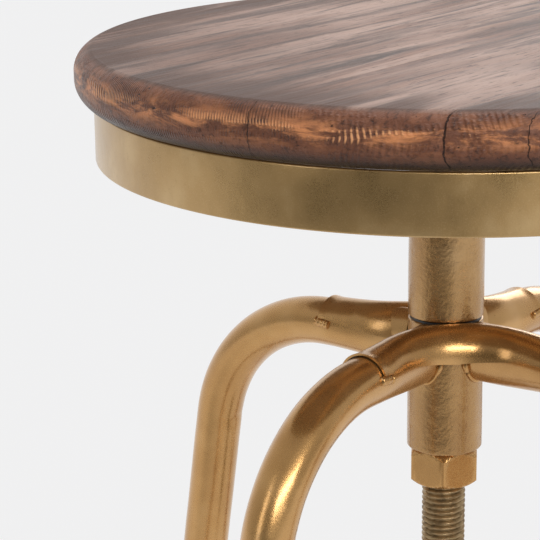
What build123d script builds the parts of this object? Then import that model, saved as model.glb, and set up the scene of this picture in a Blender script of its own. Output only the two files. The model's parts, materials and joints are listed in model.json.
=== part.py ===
"""Adjustable swivel stool: a round board seat on a lifting screw, held by four bent tube legs.

Units are millimetres. +Z is up, the origin is on the floor under the middle of the stool,
and the seat is at its lowest height. The legs stand on the diagonals of the X and Y axes.
"""
import os
from math import cos, pi, radians, sin, sqrt, tan

from build123d import *

# seat
SEAT_HEIGHT = 610.0
SEAT_DIAMETER = 364.6
WOOD_THICKNESS = 26.4
WOOD_TOP_ROUND = 10.4
WOOD_BOTTOM_ROUND = 12.2
GRAIN_ANGLE = 45.0
BOARD_JOINTS = (-98.0, -19.0, 60.0, 122.0)

# steel band under the rim of the seat, and the bars inside it
BAND_DIAMETER = 346.0
BAND_DEPTH = 28.0
BAND_WALL = 2.5
BAR_WIDTH = 30.0
BAR_THICKNESS = 5.0
PLATE_SIZE = 96.0
PLATE_THICKNESS = 4.0

# lifting screw: a 7/8 inch thread with nine turns to the inch
SCREW_DIAMETER = 22.22
THREAD_LEAD = 25.4 / 9
LIFT_TURNS = 45
LIFT_TRAVEL = LIFT_TURNS * THREAD_LEAD
RUNNING_CLEARANCE = 0.06
NUT_ACROSS_FLATS = 33.34
NUT_HEIGHT = 19.0
NUT_TURN = 12.0
COLLAR_HEIGHT = 12.0
COLLAR_DIAMETER = 32.0
STOP_WASHER_THICKNESS = 3.0
STOP_GAP = 1.0
SCREW_TAIL = 4.0
PIN_DIAMETER = 4.0

# column
COLUMN_DIAMETER = 38.1
COLUMN_WALL = 2.1
SLEEVE_LENGTH = 103.2
SLEEVE_GAP = 0.4
BUSH_FLANGE = 1.0
BUSH_LENGTH = 24.0
HUB_LENGTH = 68.4

# legs: round tube, pressed to an upright oval where its arm meets the hub
LEG_DIAMETER = 25.0
LEG_WALL = 1.8
LEG_BEND = 78.0
LEG_SPLAY = 8.57
ARM_SLOPE = 1.2
ARM_DROP = 100.2
KNEE_REACH = 139.15
OVAL_HALF_WIDTH = 8.6
OVAL_HALF_HEIGHT = 15.2
OVAL_START = 22.0
OVAL_END = 72.0

# sheet saddles over the arms of the legs
SADDLE_SHEET = 1.3
SADDLE_FIT = 0.05
SADDLE_BEND = 48.0
SADDLE_REACH = 71.0
SADDLE_NOSE_HALF_WIDTH = 12.4
SADDLE_EDGE_RISE = 6.0
SADDLE_EDGE_DROP = 3.4

# footrest ring and feet
FOOTREST_HEIGHT = 215.0
FOOTREST_BAR = 14.0
GLIDE_DIAMETER = 31.0
GLIDE_HEIGHT = 26.0
GLIDE_FLOOR = 5.0

# wood screws up into the seat
WOOD_SCREW_SHANK = 4.2
WOOD_SCREW_REACH = 18.0
WOOD_SCREW_HEAD = 9.0
WOOD_SCREW_HEAD_HEIGHT = 3.0
SCREW_WASHER_DIAMETER = 12.0
SCREW_WASHER_THICKNESS = 1.0
WOOD_SCREW_RADII = (68.0, 132.0)

# heights that follow from the sizes above
WOOD_BOTTOM = SEAT_HEIGHT - WOOD_THICKNESS
BAND_BOTTOM = WOOD_BOTTOM - BAND_DEPTH
BAR_BOTTOM = WOOD_BOTTOM - BAR_THICKNESS
PLATE_BOTTOM = BAR_BOTTOM - PLATE_THICKNESS
SLEEVE_BOTTOM = PLATE_BOTTOM - SLEEVE_LENGTH
HUB_TOP = SLEEVE_BOTTOM - SLEEVE_GAP - BUSH_FLANGE
HUB_BOTTOM = HUB_TOP - HUB_LENGTH
NUT_BOTTOM = HUB_BOTTOM - NUT_HEIGHT
STOP_TOP = NUT_BOTTOM - LIFT_TRAVEL - STOP_GAP
COLLAR_TOP = STOP_TOP - STOP_WASHER_THICKNESS
COLLAR_BOTTOM = COLLAR_TOP - COLLAR_HEIGHT
SCREW_BOTTOM = COLLAR_BOTTOM - SCREW_TAIL
ARM_HEIGHT = BAND_BOTTOM - ARM_DROP

SCREW_R = SCREW_DIAMETER / 2
BORE_R = SCREW_R + RUNNING_CLEARANCE
COLUMN_R = COLUMN_DIAMETER / 2
COLUMN_BORE_R = COLUMN_R - COLUMN_WALL
LEG_R = LEG_DIAMETER / 2
BAND_R = BAND_DIAMETER / 2
KNEE_HEIGHT = ARM_HEIGHT - KNEE_REACH * tan(radians(ARM_SLOPE))
FOOT_REACH = KNEE_REACH + KNEE_HEIGHT * tan(radians(LEG_SPLAY))

LEG_PLACES = {"front_left": 225, "front_right": 315, "rear_right": 45, "rear_left": 135}
FRONT, REAR = 270, 90
EYE = 1e-3  # a hair of space between parts that only touch
ARM_WAY = (cos(radians(ARM_SLOPE)), 0, -sin(radians(ARM_SLOPE)))


def rod(radius, low, high):
    """An upright cylinder on the stool's axis between two heights."""
    return Pos(0, 0, low) * Cylinder(radius, high - low, align=(Align.CENTER, Align.CENTER, Align.MIN))


def ring(outer, inner, low, high):
    """An upright tube or washer on the stool's axis."""
    return rod(outer, low, high) - rod(inner, low - 1, high + 1)


def around(angle, shape):
    """The shape turned about the stool's axis."""
    return Rot(0, 0, angle) * shape


def leg_reach(height):
    """How far the straight part of a leg's centre line stands from the axis at a height."""
    return KNEE_REACH + (KNEE_HEIGHT - height) * tan(radians(LEG_SPLAY))


def swept(path, radius):
    """A round bar along a path."""
    return sweep(Plane(origin=path @ 0, z_dir=path % 0) * Circle(radius), path=path)


def arm_height(reach):
    """The height of an arm's centre line at a distance from the axis."""
    return ARM_HEIGHT - reach * tan(radians(ARM_SLOPE))


def arm_oval(reach):
    """Half the width and half the height of an arm at a distance from the axis."""
    share = min(1.0, max(0.0, (reach - OVAL_START) / (OVAL_END - OVAL_START)))
    half_width = OVAL_HALF_WIDTH + (LEG_R - OVAL_HALF_WIDTH) * share
    half_height = OVAL_HALF_HEIGHT + (LEG_R - OVAL_HALF_HEIGHT) * share
    return half_width, half_height


# ---------------------------------------------------------------- seat

def seat_disc():
    disc = rod(SEAT_DIAMETER / 2, WOOD_BOTTOM, SEAT_HEIGHT)
    edges = disc.edges().filter_by(GeomType.CIRCLE).sort_by(Axis.Z)
    disc = fillet(edges[-1], WOOD_TOP_ROUND)
    edges = disc.edges().filter_by(GeomType.CIRCLE).sort_by(Axis.Z)
    return fillet(edges[0], WOOD_BOTTOM_ROUND)


def wood_screw_places():
    return [
        Rot(0, 0, quarter * 90) * Pos(radius, 0, 0)
        for quarter in range(4)
        for radius in WOOD_SCREW_RADII
    ]


def screw_bore(radius):
    """What a wood screw's shank takes out of the bars and boards."""
    bore = rod(radius, BAR_BOTTOM - 10, WOOD_BOTTOM + WOOD_SCREW_REACH)
    return [place * bore for place in wood_screw_places()]


def seat_boards():
    """The glued boards, side by side across the grain."""
    disc = seat_disc() - screw_bore(WOOD_SCREW_SHANK / 2)
    limits = (-SEAT_DIAMETER, *BOARD_JOINTS, SEAT_DIAMETER)
    boards = []
    for low, high in zip(limits, limits[1:]):
        slab = Box(2 * SEAT_DIAMETER, high - low, 4 * WOOD_THICKNESS)
        place = Rot(0, 0, GRAIN_ANGLE) * Pos(0, (low + high) / 2, SEAT_HEIGHT)
        boards.append(disc & place * slab)
    return boards


def seat_band():
    hoop = ring(BAND_R, BAND_R - BAND_WALL, BAND_BOTTOM, WOOD_BOTTOM)
    lower = hoop.edges().filter_by(GeomType.CIRCLE).group_by(Axis.Z)[0]
    return fillet(lower, 0.8)


def flat_bar(start, end):
    """A flat bar along X under the seat, trimmed to the inside of the band."""
    bar = Box(end - start, BAR_WIDTH, BAR_THICKNESS)
    bar = Pos((start + end) / 2, 0, BAR_BOTTOM + BAR_THICKNESS / 2) * bar
    bar = bar & rod(BAND_R - BAND_WALL, BAR_BOTTOM, WOOD_BOTTOM)
    return bar - screw_bore(WOOD_SCREW_SHANK / 2 + 0.2)


def centre_plate():
    plate = Pos(0, 0, PLATE_BOTTOM + PLATE_THICKNESS / 2) * Box(PLATE_SIZE, PLATE_SIZE, PLATE_THICKNESS)
    return fillet(plate.edges().filter_by(Axis.Z), 8)


def wood_screws():
    head_top = BAR_BOTTOM - SCREW_WASHER_THICKNESS
    head = rod(WOOD_SCREW_HEAD / 2, head_top - WOOD_SCREW_HEAD_HEIGHT, head_top)
    head = fillet(head.edges().filter_by(GeomType.CIRCLE).sort_by(Axis.Z)[0], 1.8)
    shank = rod(WOOD_SCREW_SHANK / 2, head_top, WOOD_BOTTOM + WOOD_SCREW_REACH)
    return [place * (head + shank) for place in wood_screw_places()]


def screw_washers():
    washer = ring(
        SCREW_WASHER_DIAMETER / 2, WOOD_SCREW_SHANK / 2 + EYE,
        BAR_BOTTOM - SCREW_WASHER_THICKNESS, BAR_BOTTOM,
    )
    return [place * washer for place in wood_screw_places()]


def bar_welds():
    """A short bead under each bar's end, in the corner it makes with the band."""
    reach = BAND_R - BAND_WALL
    bead = Pos(reach - 2, 0, BAR_BOTTOM) * Rot(90, 0, 0) * Cylinder(3, BAR_WIDTH - 6)
    bead = (bead & rod(reach, BAR_BOTTOM - 5, BAR_BOTTOM))
    return [around(quarter * 90, bead) for quarter in range(4)]


# ---------------------------------------------------------------- lifting screw and sleeve

def lift_screw():
    screw = rod(SCREW_R, SCREW_BOTTOM, PLATE_BOTTOM)
    screw = chamfer(screw.edges().filter_by(GeomType.CIRCLE).sort_by(Axis.Z)[0], 1.6)
    return screw - cross_pin_bore()


def cross_pin_bore():
    middle = (COLLAR_TOP + COLLAR_BOTTOM) / 2
    return Pos(0, 0, middle) * Rot(0, 90, 0) * Cylinder(PIN_DIAMETER / 2, COLLAR_DIAMETER + 2)


def stop_collar():
    collar = ring(COLLAR_DIAMETER / 2, SCREW_R, COLLAR_BOTTOM, COLLAR_TOP)
    outer = collar.edges().filter_by(GeomType.CIRCLE).sort_by(SortBy.RADIUS)[-2:]
    return chamfer(outer, 1) - cross_pin_bore()


def stop_pin():
    middle = (COLLAR_TOP + COLLAR_BOTTOM) / 2
    return Pos(0, 0, middle) * Rot(0, 90, 0) * Cylinder(PIN_DIAMETER / 2, COLLAR_DIAMETER - 1)


def stop_washer():
    """A loose washer on top of the collar. It rises with the screw, and the screw turns inside it."""
    return ring(COLLAR_DIAMETER / 2, BORE_R + 0.3, COLLAR_TOP + 0.3, STOP_TOP)


def screw_sleeve():
    sleeve = ring(COLUMN_R, COLUMN_BORE_R, SLEEVE_BOTTOM, PLATE_BOTTOM)
    rim = sleeve.edges().filter_by(GeomType.CIRCLE).group_by(Axis.Z)[0]
    return fillet(rim, 0.7)


def corner_bead(radius, height, size):
    """A weld bead round the axis, in the corner under a flat face at a height."""
    profile = Plane.XZ * Polyline(
        (radius, height), (radius + size, height), (radius, height - size), close=True
    )
    return revolve(make_face(profile), Axis.Z)


# ---------------------------------------------------------------- hub, nut and bush

def hub_tube():
    return ring(COLUMN_R, COLUMN_BORE_R, HUB_BOTTOM, HUB_TOP)


def lift_nut():
    corner = NUT_ACROSS_FLATS / sqrt(3)
    nut = extrude(Plane.XY.offset(NUT_BOTTOM) * RegularPolygon(corner, 6), NUT_HEIGHT)
    nut = around(REAR - 60 - NUT_TURN, nut)
    rounding = Plane.XZ * Polyline(
        (0, NUT_BOTTOM), (corner - 2.4, NUT_BOTTOM), (corner + 0.2, NUT_BOTTOM + 1.5),
        (corner + 0.2, HUB_BOTTOM - 1.2), (corner - 1.8, HUB_BOTTOM), (0, HUB_BOTTOM), close=True,
    )
    nut = nut & revolve(make_face(rounding), Axis.Z)
    return nut - rod(BORE_R, NUT_BOTTOM - 1, HUB_BOTTOM + 1)


def nut_weld():
    """The bead that fills the step between the hub's end and the flats of the nut."""
    flat = NUT_ACROSS_FLATS / 2
    step = COLUMN_R - flat
    profile = Plane.XZ * Polyline(
        (flat - 1, HUB_BOTTOM), (flat + step, HUB_BOTTOM), (flat - 1, HUB_BOTTOM - step - 0.6), close=True
    )
    beads = revolve(make_face(profile), Axis.Z) - lift_nut()
    return beads.solids()


def guide_bush():
    """A nylon bush in the top of the hub, with a lip that the sleeve comes down on."""
    body = ring(COLUMN_BORE_R, BORE_R, HUB_TOP - BUSH_LENGTH, HUB_TOP)
    return body + ring(COLUMN_R - 0.9, BORE_R, HUB_TOP, HUB_TOP + BUSH_FLANGE)


# ---------------------------------------------------------------- legs, saddles and footrest

def leg_path():
    """The centre line of the round part of the leg over +X, from its arm down to the floor."""
    start = (OVAL_END, 0, arm_height(OVAL_END))
    return FilletPolyline(start, (KNEE_REACH, 0, KNEE_HEIGHT), (FOOT_REACH, 0, 0), radius=LEG_BEND)


def oval_arm(start, inset):
    """The pressed arm over +X as a solid bar, its faces moved in by inset."""
    sections = []
    for reach in (start, 30, 44, 58):
        half_width, half_height = arm_oval(reach)
        plane = Plane(origin=(reach, 0, arm_height(reach)), x_dir=(0, 1, 0), z_dir=ARM_WAY)
        sections.append(plane * Ellipse(half_width - inset, half_height - inset))
    plane = Plane(origin=(OVAL_END, 0, arm_height(OVAL_END)), x_dir=(0, 1, 0), z_dir=ARM_WAY)
    sections.append(plane * Circle(LEG_R - inset))
    return loft(sections)


def leg_bar(inset=0.0):
    """The whole leg over +X as a solid bar, its faces moved in by inset."""
    return oval_arm(8, inset) + swept(leg_path(), LEG_R - inset)


def leg_tube():
    tube = leg_bar() - leg_bar(LEG_WALL)
    tube = tube - rod(COLUMN_R, 0, SEAT_HEIGHT)
    floor = Pos(FOOT_REACH, 0, GLIDE_FLOOR - 50) * Box(100, 100, 100)
    return (tube - floor).solids().sort_by(SortBy.VOLUME)[-1]


def foot_glide():
    """A cup over the end of a leg, flat where it meets the floor."""
    lean = Pos(FOOT_REACH, 0, 0) * Rot(0, -LEG_SPLAY, 0)
    cup = lean * Pos(0, 0, GLIDE_HEIGHT / 2 - 10) * Cylinder(GLIDE_DIAMETER / 2, GLIDE_HEIGHT + 20)
    cup = fillet(cup.edges().filter_by(GeomType.CIRCLE).sort_by(Axis.Z)[-1], 1.6)
    cup = cup - Pos(FOOT_REACH, 0, -50) * Box(100, 100, 100)
    leg_end = lean * Pos(0, 0, 50) * Cylinder(LEG_R, 200)
    leg_end = leg_end - Pos(FOOT_REACH, 0, GLIDE_FLOOR - 200) * Box(400, 400, 400)
    return cup - leg_end


def saddle_stations():
    """Places along a saddle's centre line: the point in plan, the way it runs, and its reach from the hub."""
    corner = SADDLE_BEND * sqrt(2)
    places = []
    for reach in (SADDLE_REACH, 59):
        places.append((Vector(reach, -reach) / sqrt(2), Vector(-1, 1) / sqrt(2), reach))
    for angle in (45, 30, 15, 0, -15, -30, -45):
        turn = radians(180 + angle)
        point = Vector(corner, 0) + Vector(cos(turn), sin(turn)) * SADDLE_BEND
        along = Vector(-sin(turn), cos(turn)) * -1
        places.append((point, along, point.length))
    for reach in (59, SADDLE_REACH):
        places.append((Vector(reach, reach) / sqrt(2), Vector(1, 1) / sqrt(2), reach))
    return places


def saddle_bar(growth):
    """The bar that a saddle is formed over, its nose towards +X, with its faces moved out by growth."""
    sections = []
    for point, along, reach in saddle_stations():
        half_width, half_height = arm_oval(reach)
        nose = min(1.0, max(0.0, (SADDLE_BEND - point.X + 12) / 30))
        half_width += max(0.0, SADDLE_NOSE_HALF_WIDTH - SADDLE_SHEET - half_width) * nose
        origin = (point.X, point.Y, arm_height(reach))
        plane = Plane(origin=origin, x_dir=(-along.Y, along.X, 0), z_dir=(along.X, along.Y, 0))
        sections.append(plane * Ellipse(half_width + growth, half_height + growth))
    return loft(sections)


def under_saddle_edge(turn):
    """What lies below a saddle's lower edge on one arm, where the edge climbs away from the hub."""
    slope = Pos(0, 0, ARM_HEIGHT - SADDLE_EDGE_DROP) * Rot(0, -SADDLE_EDGE_RISE, 0) * Pos(0, 0, -100)
    return around(turn, slope * Box(400, 400, 200))


def saddle(legs):
    """Sheet formed over two arms and round the front of the hub, trimmed to the hub and the arms."""
    shell = saddle_bar(SADDLE_FIT + SADDLE_SHEET) - saddle_bar(SADDLE_FIT)
    shell = shell - under_saddle_edge(45) - under_saddle_edge(-45)
    shell = shell - rod(COLUMN_R, 0, SEAT_HEIGHT)
    for leg in legs:
        shell = shell - leg
    return shell.solids().sort_by(SortBy.VOLUME)[-1]


def leg_weld():
    """A fillet round the underside of an arm where it meets the hub."""
    half_width, half_height = arm_oval(COLUMN_R)
    sections = []
    for reach, size in ((COLUMN_R - 3.5, 3.6), (COLUMN_R + 2.6, 0.8)):
        plane = Plane(origin=(reach, 0, arm_height(reach)), x_dir=(0, 1, 0), z_dir=(1, 0, 0))
        sections.append(plane * Ellipse(half_width + size, half_height + size))
    bead = loft(sections) - oval_arm(8, -EYE) - rod(COLUMN_R, 0, SEAT_HEIGHT)
    return bead - Pos(0, 0, ARM_HEIGHT - SADDLE_EDGE_DROP - 0.5 + 50) * Box(200, 200, 100)


def saddle_end_welds():
    """Two beads under the corners of a saddle's end, one each side of the arm."""
    beads = []
    corner = SADDLE_REACH - 3
    height = ARM_HEIGHT - SADDLE_EDGE_DROP + corner * tan(radians(SADDLE_EDGE_RISE))
    for side in (-1, 1):
        bead = Pos(corner, side * (LEG_R + 0.2), height - 2.6) * Rot(0, 90, 0) * Cylinder(2.4, 9)
        bead = fillet(bead.edges().filter_by(GeomType.CIRCLE), 2)
        beads.append(bead - leg_bar(-EYE) - above_saddle_edge())
    return beads


def above_saddle_edge():
    """What lies above a saddle's lower edge on the arm over +X."""
    slope = Pos(0, 0, ARM_HEIGHT - SADDLE_EDGE_DROP) * Rot(0, -SADDLE_EDGE_RISE, 0) * Pos(0, 0, 100 - EYE)
    return slope * Box(400, 400, 200)


def footrest_radius():
    gap = (LEG_R + FOOTREST_BAR / 2) / cos(radians(LEG_SPLAY))
    return leg_reach(FOOTREST_HEIGHT) - gap


def footrest_ring():
    return Pos(0, 0, FOOTREST_HEIGHT) * Torus(footrest_radius(), FOOTREST_BAR / 2)


def footrest_weld():
    """The fillets above and below the ring where it touches the inside of the leg over +X."""
    contact = leg_reach(FOOTREST_HEIGHT) - LEG_R / cos(radians(LEG_SPLAY))
    blob = Pos(contact, 0, FOOTREST_HEIGHT) * Cylinder(5.5, 9)
    blob = fillet(blob.edges().filter_by(GeomType.CIRCLE), 2)
    lean = Pos(FOOT_REACH, 0, 0) * Rot(0, -LEG_SPLAY, 0)
    tube = lean * Pos(0, 0, FOOTREST_HEIGHT) * Cylinder(LEG_R + EYE, 100)
    ring_bar = Pos(0, 0, FOOTREST_HEIGHT) * Torus(footrest_radius(), FOOTREST_BAR / 2 + EYE)
    return (blob - tube - ring_bar).solids()


# ---------------------------------------------------------------- put together

def group(solids):
    """Several separate solids in one node."""
    return Compound(children=[solid for solid in solids])


def build_seat():
    nodes = {f"seat_board_{number}": board for number, board in enumerate(seat_boards(), 1)}
    reach = BAND_R - BAND_WALL
    nodes["seat_band"] = seat_band()
    nodes["long_cross_bar"] = flat_bar(-reach - 5, reach + 5)
    half_bar = flat_bar(BAR_WIDTH / 2, reach + 5)
    nodes["half_cross_bar_rear"] = around(90, half_bar)
    nodes["half_cross_bar_front"] = around(-90, half_bar)
    nodes["cross_bar_welds"] = group(bar_welds())
    nodes["centre_plate"] = centre_plate()
    nodes["wood_screws"] = group(wood_screws())
    nodes["wood_screw_washers"] = group(screw_washers())
    nodes["lift_screw"] = lift_screw()
    nodes["screw_sleeve"] = screw_sleeve()
    nodes["sleeve_weld"] = corner_bead(COLUMN_R, PLATE_BOTTOM, 3.5)
    nodes["stop_collar"] = stop_collar()
    nodes["stop_pin"] = stop_pin()
    return nodes


def build_frame():
    nodes = {"hub_tube": hub_tube(), "lift_nut": lift_nut(), "nut_weld": group(nut_weld())}
    nodes["guide_bush"] = guide_bush()
    leg, glide = leg_tube(), foot_glide()
    for place, angle in LEG_PLACES.items():
        nodes[f"leg_{place}"] = around(angle, leg)
        nodes[f"foot_glide_{place}"] = around(angle, glide)
    shell = saddle([around(turn, leg_bar(-EYE)) for turn in (-45, 45)])
    nodes["front_saddle"] = around(FRONT, shell)
    nodes["rear_saddle"] = around(REAR, shell)
    angles = LEG_PLACES.values()
    nodes["leg_welds"] = group(around(angle, leg_weld()) for angle in angles)
    ends = [around(angle, bead) for angle in angles for bead in saddle_end_welds()]
    nodes["saddle_welds"] = group(ends)
    nodes["footrest_ring"] = footrest_ring()
    nodes["footrest_welds"] = group(around(angle, bead) for angle in angles for bead in footrest_weld())
    return nodes


def main():
    os.makedirs("parts", exist_ok=True)
    nodes = build_frame() | build_seat() | {"stop_washer": stop_washer()}
    for name, shape in nodes.items():
        export_step(shape, f"parts/{name}.step")


main()
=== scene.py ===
"""Adjustable swivel stool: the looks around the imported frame. Metres, +Z up, feet on the floor."""
import json
import math

import bmesh
import bpy
import numpy as np
from mathutils import Matrix, Vector, noise

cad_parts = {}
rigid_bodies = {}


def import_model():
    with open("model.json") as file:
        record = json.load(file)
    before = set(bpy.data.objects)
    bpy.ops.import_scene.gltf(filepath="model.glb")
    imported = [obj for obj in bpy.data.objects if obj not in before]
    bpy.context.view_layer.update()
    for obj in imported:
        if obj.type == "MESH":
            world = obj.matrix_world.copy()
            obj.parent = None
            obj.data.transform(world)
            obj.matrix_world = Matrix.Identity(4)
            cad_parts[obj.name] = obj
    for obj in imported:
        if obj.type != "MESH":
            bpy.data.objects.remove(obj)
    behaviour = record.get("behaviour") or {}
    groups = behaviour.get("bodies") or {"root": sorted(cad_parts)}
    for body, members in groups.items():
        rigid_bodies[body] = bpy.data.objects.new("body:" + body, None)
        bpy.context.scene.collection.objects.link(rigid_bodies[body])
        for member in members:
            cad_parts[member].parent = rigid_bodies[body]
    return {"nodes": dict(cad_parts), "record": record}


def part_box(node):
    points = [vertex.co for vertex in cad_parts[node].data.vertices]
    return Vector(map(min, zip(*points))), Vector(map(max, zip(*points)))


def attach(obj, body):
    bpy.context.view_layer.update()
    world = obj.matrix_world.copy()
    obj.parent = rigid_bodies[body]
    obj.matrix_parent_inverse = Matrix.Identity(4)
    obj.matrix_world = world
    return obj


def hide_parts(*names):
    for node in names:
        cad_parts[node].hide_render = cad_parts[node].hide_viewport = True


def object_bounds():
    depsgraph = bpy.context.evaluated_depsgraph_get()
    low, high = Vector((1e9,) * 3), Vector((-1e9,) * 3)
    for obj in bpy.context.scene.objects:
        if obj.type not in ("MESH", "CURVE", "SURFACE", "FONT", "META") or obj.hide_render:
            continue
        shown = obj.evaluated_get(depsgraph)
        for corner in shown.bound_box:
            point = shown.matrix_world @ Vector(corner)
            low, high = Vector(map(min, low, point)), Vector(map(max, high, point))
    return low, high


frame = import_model()
CAD_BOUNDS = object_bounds()

MM = 0.001
TURN = 2 * math.pi


# ---------------------------------------------------------------- sizes, read from the frame

def low(node):
    """The low corner of a node's box."""
    return Vector(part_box(node)[0])


def high(node):
    """The high corner of a node's box."""
    return Vector(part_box(node)[1])


SEAT_TOP = high("seat_board_3").z
WOOD_BOTTOM = low("seat_board_3").z
SEAT_R = (CAD_BOUNDS[1][0] - CAD_BOUNDS[0][0]) / 2
BAND_R = high("seat_band").x
BAND_BOTTOM = low("seat_band").z
COLUMN_R = high("hub_tube").x
HUB_BOTTOM = low("hub_tube").z
HUB_TOP = high("hub_tube").z
SLEEVE_BOTTOM = low("screw_sleeve").z
SLEEVE_TOP = high("screw_sleeve").z
NUT_BOTTOM = low("lift_nut").z
SCREW_R = high("lift_screw").x
SCREW_BOTTOM = low("lift_screw").z
SCREW_TOP = high("lift_screw").z
RING_HEIGHT = (low("footrest_ring").z + high("footrest_ring").z) / 2

# the design's own sizes that a box does not give
WOOD_TOP_ROUND = 10.4 * MM
WOOD_BOTTOM_ROUND = 12.2 * MM
GRAIN_ANGLE = math.radians(45)
BOARD_JOINTS = [joint * MM for joint in (-98, -19, 60, 122)]
BOARD_TONES = (0.35, 0.75, 0.10, 0.55, 0.90)
CRACK = -125 * MM
RIM_START = 150 * MM
CHATTER_COUNT = round(TURN * SEAT_R / (2.7 * MM))  # tool marks round the edge
BAND_WALL = 2.5 * MM
COLUMN_WALL = 2.1 * MM
THREAD_LEAD = 25.4 * MM / 9
THREAD_DEPTH = 1.6 * MM
NUT_ACROSS_FLATS = 33.34 * MM
NUT_TURN = math.radians(12)
NUT_FLAT = math.pi / 6  # from a corner of the nut to the middle of a flat
LEG_R = 12.5 * MM
LEG_BEND = 78 * MM
LEG_SPLAY = math.radians(8.57)
ARM_SLOPE = math.radians(1.2)
ARM_HEIGHT = BAND_BOTTOM - 100.2 * MM
KNEE_REACH = 139.15 * MM
KNEE_HEIGHT = ARM_HEIGHT - KNEE_REACH * math.tan(ARM_SLOPE)
FOOT_REACH = KNEE_REACH + KNEE_HEIGHT * math.tan(LEG_SPLAY)
OVAL_HALF_WIDTH = 8.6 * MM
OVAL_HALF_HEIGHT = 15.2 * MM
OVAL_START = 22 * MM
OVAL_END = 72 * MM
GLIDE_FLOOR = 5 * MM
LEG_WELD_DEPTH = 0.8 * MM
BEND_FLATTENING = 0.018
BEND_MARK_DEPTH = 0.35 * MM
BEND_MARK_LENGTH = 3.5 * MM
SADDLE_SHEET = 1.3 * MM
SADDLE_BEND = 48 * MM
SADDLE_REACH = 71 * MM
SADDLE_NOSE = 12.4 * MM
SADDLE_FIT = 0.25 * MM
SADDLE_FLARE = 0.45 * MM
SADDLE_STEPS = 40
SADDLE_EDGE_RISE = math.radians(6)
SADDLE_EDGE_DROP = 3.4 * MM
LEG_ANGLES = {"front_left": 225, "front_right": 315, "rear_right": 45, "rear_left": 135}
SADDLE_ANGLES = {"front_saddle": 270, "rear_saddle": 90}
CAMERA_SIDE = math.radians(11.8)


# ---------------------------------------------------------------- mesh code

def grid_faces(rows, columns, wrap_rows=False):
    """Quads of a grid of points, row after row, in which every row is a closed ring."""
    faces = []
    for i in range(rows if wrap_rows else rows - 1):
        for j in range(columns):
            a, b = i * columns, ((i + 1) % rows) * columns
            k = (j + 1) % columns
            faces.append((a + j, a + k, b + k, b + j))
    return faces


def end_faces(rows, columns):
    """A face over the first row of a grid and one over the last."""
    last = (rows - 1) * columns
    return [tuple(reversed(range(columns))), tuple(range(last, last + columns))]


def add_piece(name, points, faces, material, body, slot, stands_for, crease):
    """A piece of the stool from its points and faces, which are turned to face outwards."""
    mesh = bpy.data.meshes.new(name)
    mesh.from_pydata([tuple(map(float, point)) for point in points], [], faces)
    mesh.validate()
    bm = bmesh.new()
    bm.from_mesh(mesh)
    bmesh.ops.recalc_face_normals(bm, faces=bm.faces)
    bm.to_mesh(mesh)
    bm.free()
    finish_piece(name, mesh, material, body, stands_for, crease)


def finish_piece(name, mesh, material, body, stands_for, crease):
    """Puts a mesh on its body, shaded smooth except across edges sharper than crease degrees."""
    mesh.polygons.foreach_set("use_smooth", [True] * len(mesh.polygons))
    mesh.set_sharp_from_angle(angle=math.radians(crease))
    mesh.materials.append(material)
    piece = bpy.data.objects.new(name, mesh)
    bpy.context.scene.collection.objects.link(piece)
    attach(piece, body)
    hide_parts(*stands_for)


def arc(centre, radius, start, end, steps):
    """Points on an arc in a plane, angles in degrees."""
    return [
        (centre[0] + radius * math.cos(a), centre[1] + radius * math.sin(a))
        for a in np.radians(np.linspace(start, end, steps))
    ]


def circle(radius, count):
    """Evenly spaced points on a circle in a plane."""
    return [(radius * math.cos(TURN * k / count), radius * math.sin(TURN * k / count)) for k in range(count)]


def lathe(profile, segments, swell):
    """A closed profile of (radius, height) turned about the axis. swell gives what each radius gains."""
    points = []
    for radius, height in profile:
        for j in range(segments):
            angle = TURN * j / segments
            r = radius + swell(radius, height, angle)
            points.append((r * math.cos(angle), r * math.sin(angle), height))
    return points, grid_faces(len(profile), segments, wrap_rows=True)


def rounded_wall(outer, inner, bottom, top, edge, steps=5):
    """The closed profile of a tube's wall with rounded edges."""
    return (
        arc((outer - edge, bottom + edge), edge, -90, 0, steps)
        + arc((outer - edge, top - edge), edge, 0, 90, steps)
        + arc((inner + edge, top - edge), edge, 90, 180, steps)
        + arc((inner + edge, bottom + edge), edge, 180, 270, steps)
    )


def turned(points, degrees):
    """Points turned about the stool's axis."""
    c, s = math.cos(math.radians(degrees)), math.sin(math.radians(degrees))
    return [(c * x - s * y, s * x + c * y, z) for x, y, z in points]


def sweep(path, tangents, side, section):
    """A closed section swept along a path in one plane, with side square to that plane.

    section(i) gives the points at place i as (along side, square to side and path).
    """
    points = []
    side = Vector(side)
    for i, (centre, tangent) in enumerate(zip(path, tangents)):
        normal = side.cross(tangent).normalized()
        for u, v in section(i):
            points.append(centre + side * u + normal * v)
    columns = len(section(0))
    return points, grid_faces(len(path), columns) + end_faces(len(path), columns)


def bent_path(start, corner, end, radius, straight_step, bend_steps):
    """Two straight runs joined by an arc, as points and unit tangents."""
    start, corner, end = Vector(start), Vector(corner), Vector(end)
    a, b = (corner - start).normalized(), (end - corner).normalized()
    bend = a.angle(b)
    cut = radius * math.tan(bend / 2)
    first, last = corner - a * cut, corner + b * cut
    inward = (b - a * a.dot(b)).normalized()
    centre = first + inward * radius
    points, tangents = [], []
    count = max(2, round((first - start).length / straight_step))
    for i in range(count):
        points.append(start.lerp(first, i / count))
        tangents.append(a)
    for i in range(bend_steps + 1):
        t = bend * i / bend_steps
        points.append(centre - inward * (radius * math.cos(t)) + a * (radius * math.sin(t)))
        tangents.append(a * math.cos(t) + inward * math.sin(t))
    count = max(2, round((end - last).length / straight_step))
    for i in range(1, count + 1):
        points.append(last.lerp(end, i / count))
        tangents.append(b)
    return points, tangents


# ---------------------------------------------------------------- materials

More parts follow.
